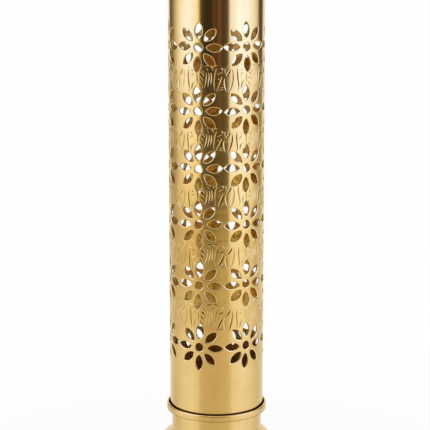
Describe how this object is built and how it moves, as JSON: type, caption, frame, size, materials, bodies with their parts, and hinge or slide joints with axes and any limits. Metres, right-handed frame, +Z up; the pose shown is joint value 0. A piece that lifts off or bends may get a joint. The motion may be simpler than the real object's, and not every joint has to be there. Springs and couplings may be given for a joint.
{
  "type": "pierced incense tower",
  "caption": "Tall pierced brass incense tower: hollow bell foot, rimmed collar, flower-pierced tube over a lift-out ash tray, and a domed lid with a finial.",
  "frame": {"origin": "centre of the circle that the foot stands on", "axes": "+Z up the tower's axis; -Y is the front, seen in the picture"},
  "size_m": [0.092, 0.092, 0.3525],
  "materials": {
    "polished_brass": "polished, faint turning lines",
    "turned_brass": "turned, fine rings, darker in the corners",
    "smoked_brass": "dull, browned by smoke",
    "steel": "plain bright steel"
  },
  "bodies": {
    "base": {"foot": "polished_brass", "neck": "polished_brass", "collar_ring": "turned_brass", "tie_bolt": "steel", "tie_washer": "steel", "tie_nut": "steel"},
    "tray": {"ash_tray": "smoked_brass", "stick_holder": "turned_brass", "holder_screw": "steel"},
    "tube": {"pierced_tube": "polished_brass"},
    "lid": {"lid_sleeve": "smoked_brass", "lid_ring": "turned_brass", "lid_dome": "polished_brass", "finial_reel": "turned_brass", "finial_knob": "polished_brass", "finial_stud": "steel", "finial_washer": "steel", "finial_nut": "steel"}
  },
  "joints": [
    {"name": "tray_lift", "type": "slide", "parent": "base", "child": "tray", "axis": [0, 0, 1], "range_m": [0, 0.04]},
    {"name": "tube_lift", "type": "slide", "parent": "base", "child": "tube", "axis": [0, 0, 1], "range_m": [0, 0.06]},
    {"name": "lid_lift", "type": "slide", "parent": "tube", "child": "lid", "axis": [0, 0, 1], "range_m": [0, 0.04]}
  ]
}
